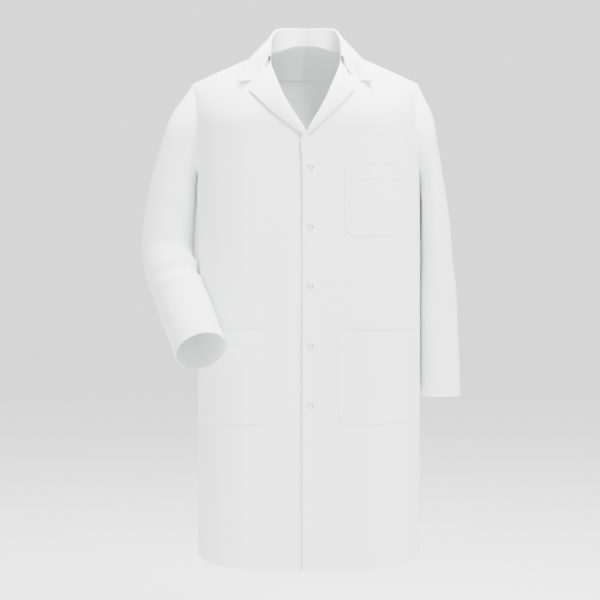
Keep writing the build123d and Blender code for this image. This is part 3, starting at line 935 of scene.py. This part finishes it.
def build_snaps(snaps):
    """Outer rings, sockets, studs and inner rings of the five snaps."""
    off_centre = 3.0
    z = (snaps.top - snaps.pitch * np.arange(snaps.count)) / MM
    s = np.full(snaps.count, off_centre)
    left = cloth(s, z, 1, -1)
    right = cloth(-s, z, -1, -1, 0.0, FRONT_UNDER[-1])
    stud_knob = [(0.02, 0.0), (4.9, 0.0), (5.2, -0.25), (5.1, -0.5), (2.0, -0.75), (1.5, -1.1),
                 (1.75, -1.5), (1.7, -1.9), (1.2, -2.1), (0.02, -2.15)]
    pieces = {
        "snap_outer_rings": (ring_profile(3.5, 6.1, -1.35, 0.25), left, 1),
        "snap_sockets": (ring_profile(2.7, 5.3, 2.2, 3.9), left, 1),
        "snap_studs": (np.array(stud_knob), right, -1),
        "snap_inner_rings": (ring_profile(3.9, 5.8, 2.1, 3.3), right, -1),
    }
    for node, (profile, places, side) in pieces.items():
        verts, quads = lathe(profile, places)
        obj = make_mesh(f"{node}_shaped", verts, quads, verts[:, :2], None,
                        material("snap_metal"))
        front_blend(obj, side, True)
        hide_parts(node)


# ---- stage ----

def build_stage(light):
    """Camera, white floor and backdrop, and soft lights."""
    camera = bpy.data.objects.new("camera", bpy.data.cameras.new("camera"))
    bpy.context.scene.collection.objects.link(camera)
    camera.location = (-0.0153, -2.6, -0.53)
    camera.rotation_euler = (np.pi / 2, 0, 0)
    camera.data.lens = 76.4
    camera.data.sensor_width = 36.0
    camera.data.clip_end = 60.0
    bpy.context.scene.camera = camera
    far, low = 20000.0, -1400.0
    corners = [(-far, -far, low), (far, -far, low), (far, far, low), (-far, far, low)]
    floor = make_mesh("floor", np.array(corners), np.array([[0, 1, 2, 3]]))
    shader = Shader("floor_white")
    floor.data.materials.append(shader.set(Base_Color=(0.95, 0.95, 0.95, 1.0), Roughness=0.9))
    world = bpy.data.worlds.new("studio")
    bpy.context.scene.world = world
    world.use_nodes = True
    background = world.node_tree.nodes["Background"]
    background.inputs["Color"].default_value = (1.0, 1.0, 1.0, 1.0)
    background.inputs["Strength"].default_value = light.backdrop
    lights = [("key", (1.0, -1.7, 2.0), light.key, 0.8), ("top", (0.0, 0.1, 2.6), light.top, 1.4)]
    for name, place, power, size in lights:
        data = bpy.data.lights.new(name, "AREA")
        data.energy = power
        data.size = size
        lamp = bpy.data.objects.new(name, data)
        lamp.location = place
        aim = Vector((0.0, 0.0, -0.5)) - Vector(place)
        lamp.rotation_euler = aim.to_track_quat("-Z", "Y").to_euler()
        bpy.context.scene.collection.objects.link(lamp)


class LabCoatCloth(bpy.types.PropertyGroup):
    """Colour of the cloth and the sewing thread's pitch."""

    white: bpy.props.FloatVectorProperty(
        name="Cloth", description="Colour of the outer cloth", subtype="COLOR", size=3,
        min=0.0, max=1.0, default=(0.67, 0.68, 0.683))
    inner: bpy.props.FloatVectorProperty(
        name="Facing", description="Colour of the facings and cuff hems", subtype="COLOR",
        size=3, min=0.0, max=1.0, default=(0.62, 0.63, 0.635))
    pitch: bpy.props.FloatProperty(
        name="Stitch pitch", description="Distance from one stitch to the next",
        default=0.0028, min=0.001, max=0.01, unit="LENGTH")


class LabCoatSnaps(bpy.types.PropertyGroup):
    """Places of the snaps down the front."""

    count: bpy.props.IntProperty(
        name="Snaps", description="Number of snaps down the front", default=5, min=1, max=12)
    top: bpy.props.FloatProperty(
        name="Top snap", description="Height of the highest snap above the neck",
        default=-0.2732, unit="LENGTH")
    pitch: bpy.props.FloatProperty(
        name="Snap pitch", description="Distance from one snap to the next",
        default=0.1154, min=0.01, unit="LENGTH")


class LabCoatLight(bpy.types.PropertyGroup):
    """Brightness of the studio."""

    backdrop: bpy.props.FloatProperty(
        name="Backdrop", description="Brightness of the white surroundings", default=1.8,
        min=0.0)
    key: bpy.props.FloatProperty(
        name="Key light", description="Power of the light before the coat", default=230.0,
        min=0.0, unit="POWER")
    top: bpy.props.FloatProperty(
        name="Top light", description="Power of the light above the coat", default=380.0,
        min=0.0, unit="POWER")


def cloth_settings():
    """Cloth settings of this scene."""
    return bpy.context.scene.lab_coat_cloth


class StageOperator(bpy.types.Operator):
    """Set up the camera, the floor and the lights"""

    bl_idname = "lab_coat.stage"
    bl_label = "Stage"

    def execute(self, context):
        build_stage(context.scene.lab_coat_light)
        return {"FINISHED"}


class FrontsOperator(bpy.types.Operator):
    """Make both fronts with their edge and hem stitches"""

    bl_idname = "lab_coat.fronts"
    bl_label = "Fronts"

    def execute(self, context):
        for side in (1, -1):
            build_front(side)
            build_front_stitches(side)
        return {"FINISHED"}


class BacksOperator(bpy.types.Operator):
    """Make both halves of the back"""

    bl_idname = "lab_coat.backs"
    bl_label = "Back"

    def execute(self, context):
        for side in (1, -1):
            build_back(side)
        return {"FINISHED"}


class FacingsOperator(bpy.types.Operator):
    """Make the facings inside the front edges"""

    bl_idname = "lab_coat.facings"
    bl_label = "Facings"

    def execute(self, context):
        for side in (1, -1):
            build_facing(side)
        return {"FINISHED"}


class LapelsOperator(bpy.types.Operator):
    """Make both lapels with their stitches"""

    bl_idname = "lab_coat.lapels"
    bl_label = "Lapels"

    def execute(self, context):
        for side in (1, -1):
            build_lapel(side)
        return {"FINISHED"}


class CollarOperator(bpy.types.Operator):
    """Make the upper collar, the under collar and the back neck facing"""

    bl_idname = "lab_coat.collar"
    bl_label = "Collar"

    def execute(self, context):
        build_collar()
        build_neck_facing()
        return {"FINISHED"}


class SleevesOperator(bpy.types.Operator):
    """Make the straight and the bent sleeve with their cuff hems"""

    bl_idname = "lab_coat.sleeves"
    bl_label = "Sleeves"

    def execute(self, context):
        for side in (1, -1):
            build_sleeve(side)
        return {"FINISHED"}


class PocketsOperator(bpy.types.Operator):
    """Make the chest pocket and both hip pockets"""

    bl_idname = "lab_coat.pockets"
    bl_label = "Pockets"

    def execute(self, context):
        for key in POCKETS:
            build_pocket(key)
        return {"FINISHED"}


class SnapsOperator(bpy.types.Operator):
    """Make the four parts of every snap"""

    bl_idname = "lab_coat.snaps"
    bl_label = "Snaps"

    def execute(self, context):
        build_snaps(context.scene.lab_coat_snaps)
        return {"FINISHED"}


OPERATORS = (StageOperator, FrontsOperator, BacksOperator, FacingsOperator, LapelsOperator,
             CollarOperator, SleevesOperator, PocketsOperator, SnapsOperator)
SETTINGS = {"lab_coat_cloth": LabCoatCloth, "lab_coat_snaps": LabCoatSnaps,
            "lab_coat_light": LabCoatLight}


class LabCoatPanel(bpy.types.Panel):
    """Panel that lists the coat's settings and pieces"""

    bl_idname = "VIEW3D_PT_lab_coat"
    bl_label = "Lab coat"
    bl_space_type = "VIEW_3D"
    bl_region_type = "UI"
    bl_category = "Lab coat"

    def draw(self, context):
        for key, group in SETTINGS.items():
            for name in group.__annotations__:
                self.layout.prop(getattr(context.scene, key), name)
        for operator in OPERATORS:
            self.layout.operator(operator.bl_idname)


def register():
    """Register the classes and put the settings on the scene."""
    for cls in (*SETTINGS.values(), *OPERATORS, LabCoatPanel):
        bpy.utils.register_class(cls)
    for key, group in SETTINGS.items():
        setattr(bpy.types.Scene, key, bpy.props.PointerProperty(type=group))


def unregister():
    """Take away the settings and the classes."""
    for key in SETTINGS:
        delattr(bpy.types.Scene, key)
    for cls in reversed((*SETTINGS.values(), *OPERATORS, LabCoatPanel)):
        bpy.utils.unregister_class(cls)


def main():
    """Build the coat piece by piece."""
    register()
    for operator in OPERATORS:
        getattr(bpy.ops.lab_coat, operator.bl_idname.split(".")[1])()


if __name__ == "__main__":
    main()
